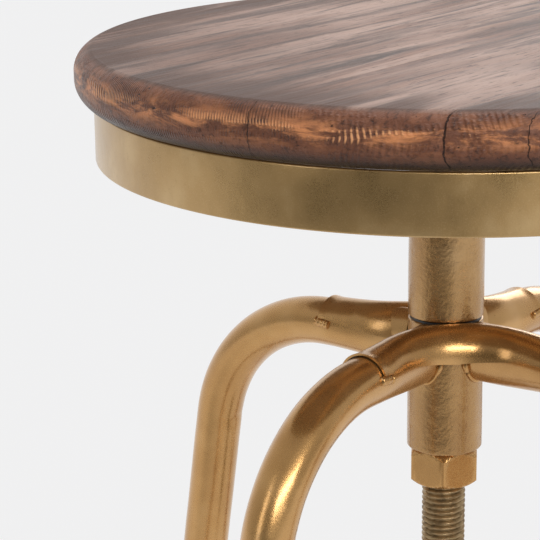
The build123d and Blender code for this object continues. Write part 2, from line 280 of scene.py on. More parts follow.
def new_material(name):
    """An empty material with a Principled shader on its output."""
    material = bpy.data.materials.new(name)
    material.use_nodes = True
    nodes = material.node_tree.nodes
    nodes.clear()
    output = nodes.new("ShaderNodeOutputMaterial")
    shader = nodes.new("ShaderNodeBsdfPrincipled")
    material.node_tree.links.new(shader.outputs[0], output.inputs[0])
    return material, shader


class Graph:
    """Short ways to add and join the nodes of one material."""

    def __init__(self, material):
        self.nodes = material.node_tree.nodes
        self.links = material.node_tree.links
        is_world = isinstance(material, bpy.types.World)
        self.place = self.nodes.new("ShaderNodeTexCoord").outputs["Generated" if is_world else "Object"]

    def put(self, value, socket):
        if isinstance(value, bpy.types.NodeSocket):
            self.links.new(value, socket)
        else:
            socket.default_value = value

    def stretched(self, scale, turn=0.0, vector=None):
        node = self.nodes.new("ShaderNodeMapping")
        self.links.new(vector or self.place, node.inputs["Vector"])
        node.inputs["Rotation"].default_value = (0, 0, turn)
        node.inputs["Scale"].default_value = scale
        return node.outputs[0]

    def noise(self, vector, scale, detail=4.0, roughness=0.55, distortion=0.0):
        node = self.nodes.new("ShaderNodeTexNoise")
        self.links.new(vector, node.inputs["Vector"])
        node.inputs["Scale"].default_value = scale
        node.inputs["Detail"].default_value = detail
        node.inputs["Roughness"].default_value = roughness
        node.inputs["Distortion"].default_value = distortion
        return node.outputs["Fac"]

    def voronoi(self, vector, scale):
        node = self.nodes.new("ShaderNodeTexVoronoi")
        self.links.new(vector, node.inputs["Vector"])
        node.inputs["Scale"].default_value = scale
        return node.outputs["Distance"]

    def math(self, operation, a, b=0.0, c=0.0):
        node = self.nodes.new("ShaderNodeMath")
        node.operation = operation
        for value, socket in zip((a, b, c), node.inputs):
            self.put(value, socket)
        return node.outputs[0]

    def ranged(self, value, start, end, to_start=0.0, to_end=1.0):
        node = self.nodes.new("ShaderNodeMapRange")
        node.interpolation_type = "SMOOTHSTEP"
        for item, socket in zip((value, start, end, to_start, to_end), node.inputs):
            self.put(item, socket)
        return node.outputs[0]

    def ramp(self, value, stops):
        node = self.nodes.new("ShaderNodeValToRGB")
        elements = node.color_ramp.elements
        while len(elements) < len(stops):
            elements.new(0.5)
        for element, (position, color) in zip(elements, stops):
            element.position = position
            element.color = (*color, 1)
        self.links.new(value, node.inputs[0])
        return node.outputs[0]

    def mix(self, factor, a, b):
        node = self.nodes.new("ShaderNodeMix")
        node.data_type = "RGBA"
        self.put(factor, node.inputs["Factor"])
        self.put((*a, 1) if isinstance(a, tuple) else a, node.inputs[6])
        self.put((*b, 1) if isinstance(b, tuple) else b, node.inputs[7])
        return node.outputs[2]

    def product(self, *values):
        result = values[0]
        for value in values[1:]:
            result = self.math("MULTIPLY", result, value)
        return result

    def toward(self, x, y, way):
        """How far a place lies along a level direction."""
        return self.math("MULTIPLY_ADD", x, way[0], self.math("MULTIPLY", y, way[1]))

    def reach(self, x, y):
        """How far a place lies from the upright axis."""
        return self.math("SQRT", self.math("ADD", self.math("MULTIPLY", x, x), self.math("MULTIPLY", y, y)))

    def split(self, vector):
        node = self.nodes.new("ShaderNodeSeparateXYZ")
        self.links.new(vector, node.inputs[0])
        return node.outputs

    def joined(self, x, y, z):
        node = self.nodes.new("ShaderNodeCombineXYZ")
        for value, socket in zip((x, y, z), node.inputs):
            self.put(value, socket)
        return node.outputs[0]

    def bump(self, height, distance, strength=1.0, under=None):
        node = self.nodes.new("ShaderNodeBump")
        node.inputs["Strength"].default_value = strength
        node.inputs["Distance"].default_value = distance
        self.links.new(height, node.inputs["Height"])
        if under is not None:
            self.links.new(under, node.inputs["Normal"])
        return node.outputs[0]

    def attribute(self, name):
        node = self.nodes.new("ShaderNodeAttribute")
        node.attribute_name = name
        return node.outputs["Fac"]


def brass_paint(name, base, dark, light, roughness, peel, blister=0.0):
    """Antique brass lacquer: metallic, faintly mottled, finely speckled, with an orange peel."""
    material, shader = new_material(name)
    g = Graph(material)
    cloud = g.noise(g.place, 24, 3)
    smear = g.noise(g.stretched((1, 1, 0.3)), 110, 3)
    speck = g.noise(g.place, 1900, 2, 0.7)
    flake = g.noise(g.place, 620, 2, 0.6)
    color = g.ramp(cloud, [(0.30, dark), (0.50, base), (0.72, light)])
    color = g.mix(g.ranged(smear, 0.50, 0.78, 0, 0.22), color, dark)
    color = g.mix(g.ranged(speck, 0.50, 0.72, 0, 0.38), color, light)
    color = g.mix(g.ranged(flake, 0.60, 0.74, 0, 0.30), color, dark)
    g.links.new(color, shader.inputs["Base Color"])
    rough = g.ranged(cloud, 0.3, 0.7, roughness * 0.85, roughness * 1.15)
    rough = g.math("ADD", rough, g.ranged(speck, 0.3, 0.8, -0.03, 0.05))
    g.links.new(rough, shader.inputs["Roughness"])
    normal = g.bump(g.noise(g.place, 1100, 2), 0.05 * MM, peel)
    normal = g.bump(g.noise(g.place, 130, 2), 0.22 * MM, peel, normal)
    if blister:
        normal = g.bump(g.noise(g.place, 300, 4, 0.62), 0.5 * MM, blister, normal)
    g.links.new(normal, shader.inputs["Normal"])
    shader.inputs["Metallic"].default_value = 0.86
    shader.inputs["Coat Weight"].default_value = 0.35
    shader.inputs["Coat Roughness"].default_value = 0.14
    return material


def dark_steel(name):
    """Oiled steel of the lifting screw, mottled in dark to mid browns."""
    material, shader = new_material(name)
    g = Graph(material)
    grime = g.noise(g.place, 240, 4)
    color = g.ramp(grime, [
        (0.3, (0.16, 0.11, 0.055)), (0.55, (0.36, 0.255, 0.135)), (0.8, (0.50, 0.37, 0.21)),
    ])
    g.links.new(color, shader.inputs["Base Color"])
    g.links.new(g.ranged(grime, 0.3, 0.7, 0.5, 0.3), shader.inputs["Roughness"])
    g.links.new(g.bump(g.noise(g.place, 1200, 3), 0.1 * MM, 0.5), shader.inputs["Normal"])
    shader.inputs["Metallic"].default_value = 0.9
    return material


def zinc(name):
    """Bright zinc plate with faint spangle."""
    material, shader = new_material(name)
    g = Graph(material)
    spangle = g.voronoi(g.place, 700)
    color = g.ramp(spangle, [(0.0, (0.50, 0.50, 0.49)), (1.0, (0.68, 0.68, 0.66))])
    g.links.new(color, shader.inputs["Base Color"])
    g.links.new(g.ranged(spangle, 0, 1, 0.28, 0.42), shader.inputs["Roughness"])
    g.links.new(g.bump(g.noise(g.place, 1500, 2), 0.05 * MM, 0.5), shader.inputs["Normal"])
    shader.inputs["Metallic"].default_value = 1.0
    return material


def plastic(name, color, roughness, grain):
    """Moulded plastic or rubber with a fine spark-eroded grain and slight scuffing."""
    material, shader = new_material(name)
    g = Graph(material)
    scuff = g.noise(g.place, 90, 5)
    worn = tuple(min(1, channel * 1.5 + 0.02) for channel in color)
    g.links.new(g.mix(g.ranged(scuff, 0.5, 0.75, 0, 0.5), color, worn), shader.inputs["Base Color"])
    g.links.new(g.ranged(scuff, 0.3, 0.7, roughness, roughness + 0.15), shader.inputs["Roughness"])
    g.links.new(g.bump(g.noise(g.place, 1800, 2), 0.1 * MM, grain), shader.inputs["Normal"])
    return material


STREAKS = [
    (0.30, (0.009, 0.005, 0.004)), (0.42, (0.045, 0.020, 0.013)),
    (0.56, (0.135, 0.063, 0.042)), (0.72, (0.260, 0.138, 0.092)),
]
DARK_FIBRE = (0.022, 0.011, 0.009)
PALE_BOARD = (0.17, 0.09, 0.065)
# painted sheen: pale grey that stands in for the overhead light's grazing reflection on the top
PAINTED_TOP_SHEEN = (0.42, 0.290, 0.236)
DARK_PORE = (0.014, 0.009, 0.009)
OUTER_STAIN = (0.062, 0.026, 0.015)
RED_STAIN = (0.170, 0.058, 0.026)
EDGE_FIBRE = (0.020, 0.009, 0.007)
# coppery worn wood, which along the ridge also stands in for a painted highlight
COPPER_WEAR_AND_HIGHLIGHT = (0.68, 0.275, 0.110)
# painted highlight on the crests of the tool marks
PAINTED_CREST_HIGHLIGHT = (0.80, 0.38, 0.17)
# painted shade on the lower rounding of the edge
PAINTED_UNDER_EDGE_SHADE = (0.010, 0.006, 0.005)
BARE_DARK = (0.22, 0.13, 0.08)
BARE_LIGHT = (0.42, 0.28, 0.18)
OPEN_JOINT = (0.006, 0.004, 0.004)


def wood_grain(g, tone):
    """Noises drawn out along the grain. The board's tone moves them, so that no two boards match."""
    shifted = g.nodes.new("ShaderNodeVectorMath")
    shifted.operation = "ADD"
    g.links.new(g.place, shifted.inputs[0])
    g.links.new(g.joined(g.math("MULTIPLY", tone, 7.0), 0.0, tone), shifted.inputs[1])
    along = g.stretched((1, 1, 1), -GRAIN_ANGLE, shifted.outputs[0])
    return {
        "warp": g.noise(g.stretched((5, 17, 17), 0, along), 1.0, 4),
        "fibres": g.noise(g.stretched((11, 420, 420), 0, along), 1.0, 6, 0.65, 0.3),
        "streaks": g.noise(g.stretched((6, 95, 95), 0, along), 1.0, 6, 0.68, 0.9),
        "bands": g.noise(g.stretched((3.4, 38, 38), 0, along), 1.0, 5, 0.62, 0.8),
        "pores": g.noise(g.stretched((70, 1000, 1000), 0, along), 1.0, 2, 0.7),
    }


def top_with_painted_sheen(g, color, grain, up, x, reach):
    """Painted sheen on what faces up: a pale grey standing in for the grazing reflection of the overhead
    light, thin in places, gone in the dark streaks and thinner towards -X, which paints shade on the left.
    Dark pores, and a stain near the edge.
    """
    painted_sheen_cover = g.product(
        g.ranged(grain["warp"], 0.36, 0.60, 0.25, 0.84),
        g.ranged(grain["bands"], 0.36, 0.52, 0.40, 1.0),
        g.ranged(grain["streaks"], 0.38, 0.52, 0.25, 1.0),
        # thinner towards -X: painted shade on the left of the top
        g.ranged(x, -160 * MM, -30 * MM, 0.42, 1.0),
    )
    # painted sheen: the top made pale grey where the overhead light would glance off it
    color = g.mix(g.math("MULTIPLY", up, painted_sheen_cover), color, PAINTED_TOP_SHEEN)
    pores = g.ranged(grain["pores"], 0.58, 0.70, 0, 0.8)
    color = g.mix(g.math("MULTIPLY", up, pores), color, DARK_PORE)
    patches = g.ranged(grain["bands"], 0.46, 0.60, 0.88, 0.0)
    stain = g.product(g.ranged(reach, 118 * MM, 168 * MM), patches, up)
    return g.mix(stain, color, OUTER_STAIN)


def tool_chatter(g, around, z, rim_place):
    """Slanting tool marks round the edge, coarse in some places and fine in others."""
    drift = g.noise(g.stretched((45, 60, 1), 0, rim_place), 1.0, 2)
    slant = g.math("MULTIPLY", g.math("ABSOLUTE", g.math("SUBTRACT", z, SEAT_TOP - 12 * MM)), 520.0)
    wander = g.math("MULTIPLY_ADD", drift, 8.0, slant)
    coarse = g.math("SINE", g.math("MULTIPLY_ADD", around, CHATTER_COUNT, wander))
    fine = g.math("SINE", g.math("MULTIPLY_ADD", around, CHATTER_COUNT * 1.8, wander))
    choice = g.ranged(g.noise(g.stretched((9, 9, 1), 0, rim_place), 1.0, 1), 0.46, 0.54)
    chosen = g.math("MULTIPLY", coarse, choice)
    others = g.math("MULTIPLY", fine, g.math("SUBTRACT", 1.0, choice))
    return g.math("MULTIPLY_ADD", g.math("ADD", chosen, others), 0.5, 0.5)


def worn_rim(g, color, grain, rim, z, chatter, rim_place):
    """Coppery worn patches where tools and hands have cut through the stain on the edge, strongest along the
    ridge, where they also paint a highlight. Painted highlights on the crests of the tool marks, and painted
    shade on the lower rounding.
    """
    patch = g.noise(g.stretched((38, 130, 1), 0, rim_place), 1.0, 6, 0.68, 0.5)
    off_ridge = g.math("ABSOLUTE", g.math("SUBTRACT", z, SEAT_TOP - 10 * MM))
    ridge = g.ranged(off_ridge, 0.0, 7.5 * MM, 1.0, 0.0)
    # worn patches, weighted to the ridge, where they are also a painted highlight
    wear_and_highlight = g.math("MULTIPLY", g.ranged(patch, 0.44, 0.62), g.math("MULTIPLY_ADD", ridge, 0.80, 0.12))
    color = g.mix(g.math("MULTIPLY", rim, 0.62), color, RED_STAIN)
    fibres = g.ranged(grain["fibres"], 0.50, 0.66, 0, 0.6)
    color = g.mix(g.math("MULTIPLY", rim, fibres), color, EDGE_FIBRE)
    color = g.mix(g.math("MULTIPLY", rim, wear_and_highlight), color, COPPER_WEAR_AND_HIGHLIGHT)
    # painted highlight: the crests of the tool marks along the ridge made light
    painted_crest_highlights = g.product(chatter, ridge, rim)
    color = g.mix(g.ranged(painted_crest_highlights, 0.30, 0.85, 0.0, 0.85), color, PAINTED_CREST_HIGHLIGHT)
    # painted shade: the lower rounding of the edge made nearly black
    below = g.ranged(z, WOOD_BOTTOM + 10 * MM, WOOD_BOTTOM + 2 * MM, 0.0, 0.94)
    return g.mix(below, color, PAINTED_UNDER_EDGE_SHADE)


def opened_joints(g, rim, reach, rim_place):
    """Glue joints that have opened at the edge, one short crack, and small pits."""
    across = g.split(g.stretched((1, 1, 1), -GRAIN_ANGLE))[1]
    crooked = g.noise(g.stretched((1, 1, 1), 0, g.place), 210, 3, 0.6)
    crooked = g.math("MULTIPLY_ADD", crooked, 3.2 * MM, -1.6 * MM)
    opened = 0.0
    for offset, width in ((BOARD_JOINTS[0], 0.45 * MM), (BOARD_JOINTS[1], 0.25 * MM), (CRACK, 0.25 * MM)):
        line = g.math("ADD", g.math("SUBTRACT", across, offset), crooked)
        line = g.ranged(g.math("ABSOLUTE", line), 0.15 * width, width, 1.0, 0.0)
        opened = g.math("MAXIMUM", opened, line)
    opened = g.product(opened, g.math("MULTIPLY_ADD", rim, 0.75, 0.12), g.ranged(reach, RIM_START, 172 * MM))
    pits = g.ranged(g.noise(g.stretched((230, 420, 1), 0, rim_place), 1.0, 4), 0.67, 0.72)
    return g.math("MAXIMUM", opened, g.math("MULTIPLY", rim, pits))


def stained_wood(name):
    """Dark stained boards: painted sheen and painted shade on the top; coppery worn patches, painted
    highlights and tool chatter round the edge; painted shade under the edge.
    """
    material, shader = new_material(name)
    g = Graph(material)
    x, y, z = g.split(g.place)
    reach = g.reach(x, y)
    around = g.math("ARCTAN2", y, x)
    rim_place = g.joined(g.math("MULTIPLY", around, 180 * MM), z, 0.0)  # the edge rolled out flat
    facing = g.split(g.nodes.new("ShaderNodeNewGeometry").outputs["Normal"])[2]
    up = g.ranged(facing, 0.82, 0.985)
    rim = g.math("SUBTRACT", 1.0, up)
    tone = g.attribute("tone")
    grain = wood_grain(g, tone)
    ripple = tool_chatter(g, around, z, rim_place)
    where = g.ranged(g.noise(g.stretched((19, 130, 1), 0, rim_place), 1.0, 4), 0.46, 0.60)
    chatter = g.math("MULTIPLY", ripple, where)
    hollow = opened_joints(g, rim, reach, rim_place)

    color = g.ramp(grain["streaks"], STREAKS)
    color = g.mix(g.ranged(grain["fibres"], 0.42, 0.68, 0.0, 0.62), color, DARK_FIBRE)
    color = g.mix(g.ranged(tone, 0.0, 1.0, 0.0, 0.25), color, PALE_BOARD)
    # the top: painted sheen, painted shade on its left, pores and a stain
    color = top_with_painted_sheen(g, color, grain, up, x, reach)
    # the edge: coppery worn patches and painted highlights on its ridge, painted shade under it
    color = worn_rim(g, color, grain, rim, z, chatter, rim_place)
    bare = g.mix(grain["streaks"], BARE_DARK, BARE_LIGHT)
    color = g.mix(g.ranged(facing, -0.90, -0.99, 0.0, 0.85), color, bare)
    color = g.mix(hollow, color, OPEN_JOINT)
    g.links.new(color, shader.inputs["Base Color"])

    normal = g.bump(grain["fibres"], 0.7 * MM, 0.7)
    normal = g.bump(grain["streaks"], 1.5 * MM, 0.4, normal)
    normal = g.bump(g.math("SUBTRACT", 1.0, grain["pores"]), 0.4 * MM, 0.45, normal)
    normal = g.bump(g.math("MULTIPLY", chatter, rim), 0.7 * MM, 0.9, normal)
    normal = g.bump(g.math("SUBTRACT", 1.0, hollow), 1.2 * MM, 0.8, normal)
    g.links.new(normal, shader.inputs["Normal"])
    rough = g.ranged(grain["streaks"], 0.3, 0.7, 0.46, 0.58)
    g.links.new(g.math("MULTIPLY_ADD", rim, -0.16, rough), shader.inputs["Roughness"])
    shader.inputs["Specular IOR Level"].default_value = 0.25
    return material


BRASS = brass_paint(
    "brass_paint", base=(0.50, 0.275, 0.093), dark=(0.41, 0.215, 0.068), light=(0.59, 0.35, 0.140),
    roughness=0.27, peel=0.5,
)
BAND_BRASS = brass_paint(
    "band_brass_paint", base=(0.42, 0.265, 0.105), dark=(0.33, 0.205, 0.075), light=(0.56, 0.39, 0.19),
    roughness=0.33, peel=0.7,
)
CAST_BRASS = brass_paint(
    "blistered_brass_paint", base=(0.40, 0.225, 0.082), dark=(0.29, 0.155, 0.056),
    light=(0.53, 0.33, 0.145), roughness=0.27, peel=0.5, blister=1.0,
)
SCREW_STEEL = dark_steel("screw_steel")
ZINC = zinc("zinc_steel")
# black nylon: its black also stands in for the shadow in the gap between sleeve and hub
BLACK_NYLON_AS_GAP_SHADE = plastic("nylon", (0.02, 0.02, 0.02), roughness=0.38, grain=0.3)
RUBBER = plastic("glide_rubber", (0.018, 0.018, 0.018), roughness=0.55, grain=0.8)
WOOD = stained_wood("seat_wood")
NODE_MATERIALS = {"brass_paint": BRASS, "screw_steel": SCREW_STEEL, "zinc_steel": ZINC, "nylon": BLACK_NYLON_AS_GAP_SHADE,
                  "glide_rubber": RUBBER, "seat_wood": WOOD}


def dress_nodes():
    """Gives every CAD node the procedural material of its slot."""
    slots = {part["node"]: part["material_slot"] for part in frame["record"]["subparts"]}
    for name, node in frame["nodes"].items():
        material = NODE_MATERIALS[slots[name]]
        for index in range(len(node.material_slots)):
            node.material_slots[index].link = "OBJECT"
            node.material_slots[index].material = material


# ---------------------------------------------------------------- seat

def seat_profile():
    """The seat's outline from the middle of the top, over the edge, to the middle of the underside."""
    middle = 2 * MM
    flat = SEAT_R - WOOD_TOP_ROUND
    under = SEAT_R - WOOD_BOTTOM_ROUND
    upper = SEAT_TOP - WOOD_TOP_ROUND
    lower = WOOD_BOTTOM + WOOD_BOTTOM_ROUND
    return (
        [(r, SEAT_TOP) for r in np.linspace(middle, flat, 34)[:-1]]
        + arc((flat, upper), WOOD_TOP_ROUND, 90, 0, 34)
        + [(SEAT_R, z) for z in np.linspace(upper, lower, 10)[1:-1]]
        + arc((under, lower), WOOD_BOTTOM_ROUND, 0, -90, 26)
        + [(r, WOOD_BOTTOM) for r in np.linspace(under, middle, 12)[1:]]
    )


def seat_surface():
    """The whole seat, its edge and its top a little uneven, as from hand work."""
    profile = seat_profile()
    segments = 1080
    points = []
    for radius, height in profile:
        rim = max(0.0, (radius - RIM_START) / (SEAT_R - RIM_START))
        for x, y in circle(radius, segments):
            edge_swell = noise.noise(Vector((x * 14, y * 14, height * 40)))
            shrink = 1 - rim * (0.35 + 0.35 * edge_swell) * MM / radius
            z = height
            if height >= SEAT_TOP - 0.1 * MM:
                z -= (0.25 + 0.25 * noise.noise(Vector((x * 22, y * 22, 3)))) * MM
            points.append((x * shrink, y * shrink, z))
    return points, grid_faces(len(profile), segments) + end_faces(len(profile), segments)


def cut_board(whole, across, start, end):
    """What is left of the seat between two planes across the grain."""
    bm = bmesh.new()
    bm.from_mesh(whole)
    for place, sign in ((start, -1), (end, 1)):
        if place is None:
            continue
        cut = bmesh.ops.bisect_plane(
            bm, geom=bm.verts[:] + bm.edges[:] + bm.faces[:], plane_co=across * place,
            plane_no=across * sign, clear_outer=True, dist=1e-7,
        )
        rim = [item for item in cut["geom_cut"] if isinstance(item, bmesh.types.BMEdge)]
        bmesh.ops.contextual_create(bm, geom=rim)
    bmesh.ops.recalc_face_normals(bm, faces=bm.faces)
    mesh = bpy.data.meshes.new("board")
    bm.to_mesh(mesh)
    bm.free()
    return mesh


def seat_boards():
    """The seat cut across its grain at the glue joints, each board with its own tone."""
    points, faces = seat_surface()
    whole = bpy.data.meshes.new("whole_seat")
    whole.from_pydata(points, [], faces)
    across = Vector((-math.sin(GRAIN_ANGLE), math.cos(GRAIN_ANGLE), 0))
    gap = 0.06 * MM
    limits = [None, *BOARD_JOINTS, None]
    for number, (start, end) in enumerate(zip(limits, limits[1:]), 1):
        start = start if start is None else start + gap
        end = end if end is None else end - gap
        mesh = cut_board(whole, across, start, end)
        tone = mesh.attributes.new("tone", "FLOAT", "POINT")
        tone.data.foreach_set("value", [BOARD_TONES[number - 1]] * len(mesh.vertices))
        finish_piece(f"stained_board_{number}", mesh, WOOD, "seat", [f"seat_board_{number}"], 50)
    bpy.data.meshes.remove(whole)


def seat_band():
    """The steel band under the boards, rolled a little out of round."""
    profile = rounded_wall(BAND_R, BAND_R - BAND_WALL, BAND_BOTTOM, WOOD_BOTTOM, 0.9 * MM)

    def rolled(radius, height, angle):
        return 0.12 * MM * noise.noise(Vector((3 * math.cos(angle), 3 * math.sin(angle), 0)))

    points, faces = lathe(profile, 720, rolled)
    add_piece("rolled_band", points, faces, BAND_BRASS, "seat", "brass_paint", ["seat_band"], 60)


# ---------------------------------------------------------------- column

def column_tube(name, node, bottom, top, edge, body):
    """A length of the column's tube with its rough paint, in rings at most about 2 mm apart."""
    profile = rounded_wall(COLUMN_R, COLUMN_R - COLUMN_WALL, bottom, top, edge)
    dense = []
    for (r0, z0), (r1, z1) in zip(profile, profile[1:] + profile[:1]):
        steps = max(1, round(abs(z1 - z0) / (2 * MM)))
        dense += [(r0 + (r1 - r0) * k / steps, z0 + (z1 - z0) * k / steps) for k in range(steps)]

    def rough(radius, height, angle):
        x, y = radius * math.cos(angle), radius * math.sin(angle)
        return 0.10 * MM * noise.noise(Vector((x * 90, y * 90, height * 60)))

    points, faces = lathe(dense, 160, rough)
    add_piece(name, points, faces, CAST_BRASS, body, "brass_paint", [node], 60)


def thread():
    """The lifting screw: one continuous helical surface, closed at both ends."""
    steps = 48
    run_out = 1.2 * steps
    blank = 2.2 * THREAD_LEAD
    minor = SCREW_R - THREAD_DEPTH
    flank = SCREW_R - 0.12 * MM
    shape = [(0.0, minor), (0.10, minor), (0.42, flank), (0.50, SCREW_R), (0.58, SCREW_R), (0.66, flank)]
    width = len(shape)
    total = int((SCREW_TOP - SCREW_BOTTOM - blank) / THREAD_LEAD * steps)
    points = []
    for i in range(total + 1):
        angle = TURN * i / steps
        base = SCREW_BOTTOM + 1.0 * MM + THREAD_LEAD * i / steps
        fade = min(1.0, i / run_out, (total - i) / run_out)
        for share, crest in shape:
            r = minor + (crest - minor) * fade
            points.append((r * math.cos(angle), r * math.sin(angle), base + share * THREAD_LEAD))
    faces = []
    for i in range(total):
        a, b = i * width, (i + 1) * width
        faces += [(a + k, b + k, b + k + 1, a + k + 1) for k in range(width - 1)]
        if i + steps + 1 <= total:
            c, d = (i + steps) * width, (i + steps + 1) * width
            faces.append((a + width - 1, b + width - 1, d, c))
    first = [i * width for i in range(steps + 1)]
    bottom = len(points)
    chamfer = 0.93
    points += [(points[k][0] * chamfer, points[k][1] * chamfer, SCREW_BOTTOM) for k in first[:-1]]
    faces += [(bottom + (j + 1) % steps, bottom + j, first[j], first[j + 1]) for j in range(steps)]
    faces.append(tuple(range(bottom, bottom + steps)))
    faces.append((first[steps], *reversed(range(width))))
    last = [i * width + width - 1 for i in range(total - steps, total + 1)]
    top = len(points)
    points += [(points[k][0], points[k][1], SCREW_TOP) for k in last[:-1]]
    faces += [(last[j], last[j + 1], top + (j + 1) % steps, top + j) for j in range(steps)]
    faces.append(tuple(range(top, top + steps)))
    faces.append((last[0], *range(total * width, total * width + width)))
    add_piece("threaded_screw", points, faces, SCREW_STEEL, "seat", "screw_steel", ["lift_screw"], 50)


def hexagon_nut():
    """The nut under the hub, its corners rounded off towards both ends."""
    flat = NUT_ACROSS_FLATS / 2
    corner = flat / math.cos(NUT_FLAT)
    segments = 6 * 24
    top, bottom = HUB_BOTTOM, NUT_BOTTOM
    bore = SCREW_R + 0.06 * MM
    levels = [
        (bottom, bore), (bottom, flat * 0.95), (bottom + 0.6 * MM, flat),
        (bottom + 1.2 * MM, flat + 0.7 * MM), (bottom + 1.9 * MM, flat + 1.5 * MM),
        (bottom + 2.7 * MM, corner + 0.2 * MM), (bottom + 9 * MM, corner + 1 * MM),
        (top - 3.6 * MM, corner + 0.2 * MM), (top - 2.6 * MM, flat + 1.5 * MM),
        (top - 1.7 * MM, flat + 0.7 * MM), (top - 0.9 * MM, flat),
        (top - 0.3 * MM, flat * 0.95), (top, flat * 0.93), (top, bore),
    ]
    first_corner = 2 * NUT_FLAT - NUT_TURN
    points = []
    for z, limit in levels:
        for j in range(segments):
            angle = TURN * j / segments
            off = (angle + NUT_FLAT) % (2 * NUT_FLAT) - NUT_FLAT
            r = min(flat / math.cos(off), corner - 0.15 * MM, limit)
            turn = angle + first_corner
            points.append((r * math.cos(turn), r * math.sin(turn), z))
    faces = grid_faces(len(levels), segments, wrap_rows=True)
    add_piece("hexagon_nut", points, faces, BRASS, "frame", "brass_paint", ["lift_nut"], 24)


# ---------------------------------------------------------------- legs

def arm_axis(reach):
    """The height of an arm's centre line at a distance from the axis."""
    return ARM_HEIGHT - reach * math.tan(ARM_SLOPE)


def arm_oval(reach):
    """Half the width and half the height of an arm at a distance from the axis."""
    share = min(1.0, max(0.0, (reach - OVAL_START) / (OVAL_END - OVAL_START)))
    share = share * share * (3 - 2 * share)
    return (OVAL_HALF_WIDTH + (LEG_R - OVAL_HALF_WIDTH) * share,
            OVAL_HALF_HEIGHT + (LEG_R - OVAL_HALF_HEIGHT) * share)


def leg(name, degrees, seed):
    """A bent tube, its arm pressed to an upright oval at the hub, slightly flattened on the bend."""
    reach = COLUMN_R - LEG_WELD_DEPTH
    start = (reach, 0, arm_axis(reach))
    foot = (FOOT_REACH - GLIDE_FLOOR * math.tan(LEG_SPLAY), 0, GLIDE_FLOOR)
    path, tangents = bent_path(start, (KNEE_REACH, 0, KNEE_HEIGHT), foot, LEG_BEND, 3 * MM, 90)
    bend_end = path[max(i for i, t in enumerate(tangents) if abs(t.x - tangents[-1].x) > 1e-4)]

    def section(i):
        half_width, half_height = arm_oval(path[i].x)
        squeeze = BEND_FLATTENING * abs(tangents[i].x * tangents[i].z) * 2
        mark = BEND_MARK_DEPTH * math.exp(-((path[i] - bend_end).length / BEND_MARK_LENGTH) ** 2)
        ring = []
        for u, v in circle(1.0, 72):
            lump = 0.10 * MM * noise.noise(Vector((path[i].x * 55, v + seed, path[i].z * 55)))
            width = half_width * (1 + squeeze) + lump
            height = half_height * (1 - squeeze) + lump - mark * max(0.0, v) ** 2
            ring.append((u * width, v * height))
        return ring

    points, faces = sweep(path, tangents, (0, 1, 0), section)
    add_piece(f"bent_{name}", turned(points, degrees), faces, BRASS, "frame", "brass_paint", [name], 60)


def saddle_path():
    """Points of a saddle's centre line in plan with the way it runs and its reach, its nose towards +X."""
    places = []
    half = 1 / math.sqrt(2)
    for reach in np.linspace(SADDLE_REACH, SADDLE_BEND, 16)[:-1]:
        places.append((Vector((reach * half, -reach * half)), Vector((-half, half)), reach))
    centre = Vector((SADDLE_BEND / half, 0))
    for turn in np.radians(np.linspace(225, 135, 41)):
        point = centre + Vector((math.cos(turn), math.sin(turn))) * SADDLE_BEND
        places.append((point, Vector((math.sin(turn), -math.cos(turn))), point.length))
    for reach in np.linspace(SADDLE_BEND, SADDLE_REACH, 16)[1:]:
        places.append((Vector((reach * half, reach * half)), Vector((half, half)), reach))
    return places


def saddle_edge_height(x, y):
    """The height of a saddle's lower edge, which climbs away from the hub along both arms."""
    along = (x + abs(y)) / math.sqrt(2)
    return ARM_HEIGHT - SADDLE_EDGE_DROP + along * math.tan(SADDLE_EDGE_RISE)


def saddle_section(centre, along, reach, lift):
    """The sheet at one place, its inside at lift off the arm: outside from edge to edge, then inside back."""
    half_width, half_height = arm_oval(reach)
    nose = min(1.0, max(0.0, (SADDLE_BEND - centre.x + 12 * MM) / (30 * MM)))
    half_width += max(0.0, SADDLE_NOSE - SADDLE_SHEET - half_width) * nose
    height = arm_axis(reach)
    side = Vector((-along.y, along.x))

    def spot(angle, growth):
        place = centre + side * ((half_width + growth) * math.cos(angle))
        return place.x, place.y, height + (half_height + growth) * math.sin(angle)

    def edge_angle(growth, far):
        angle = 0.0
        for _ in range(6):
            x, y = spot(math.pi - angle if far else angle, growth)[:2]
            rise = saddle_edge_height(x, y) - height
            angle = math.asin(max(-0.5, min(0.9, rise / (half_height + growth))))
        return math.pi - angle if far else angle

    outside = lift + SADDLE_SHEET - 0.15 * MM
    row = []
    for growth, far_first in ((outside, False), (lift, True)):
        start, end = edge_angle(growth, far_first), edge_angle(growth, not far_first)
        row += [spot(start + (end - start) * k / SADDLE_STEPS, growth) for k in range(SADDLE_STEPS + 1)]
    return row


def pushed_off_hub(x, y, z):
    """A point moved out to the hub's wall, or to just clear of it near the hub's top."""
    limit = COLUMN_R - 0.2 * MM if z < HUB_TOP - 0.4 * MM else COLUMN_R + 0.15 * MM
    reach = math.hypot(x, y)
    grow = limit / max(reach, 1e-6) if reach < limit else 1.0
    return x * grow, y * grow


def saddle(name, degrees, seed):
    """Thin sheet formed over two arms and round the hub. Its ends stand a little proud of the arms."""
    places = saddle_path()
    points = []
    for i, (centre, along, reach) in enumerate(places):
        from_end = min(i, len(places) - 1 - i)
        lift = SADDLE_FIT + SADDLE_FLARE * math.exp(-(from_end / 1.6) ** 2)
        for k, (x, y, z) in enumerate(saddle_section(centre, along, reach, lift)):
            outer = k <= SADDLE_STEPS
            ripple = 0.12 * MM * noise.noise(Vector((x * 70 + seed, y * 70, z * 70)))
            points.append((*pushed_off_hub(x, y, z), z + (ripple if outer else 0.0)))
    columns = 2 * (SADDLE_STEPS + 1)
    faces = grid_faces(len(places), columns) + end_faces(len(places), columns)
    add_piece(f"sheet_{name}", turned(points, degrees), faces, BRASS, "frame", "brass_paint", [name], 50)


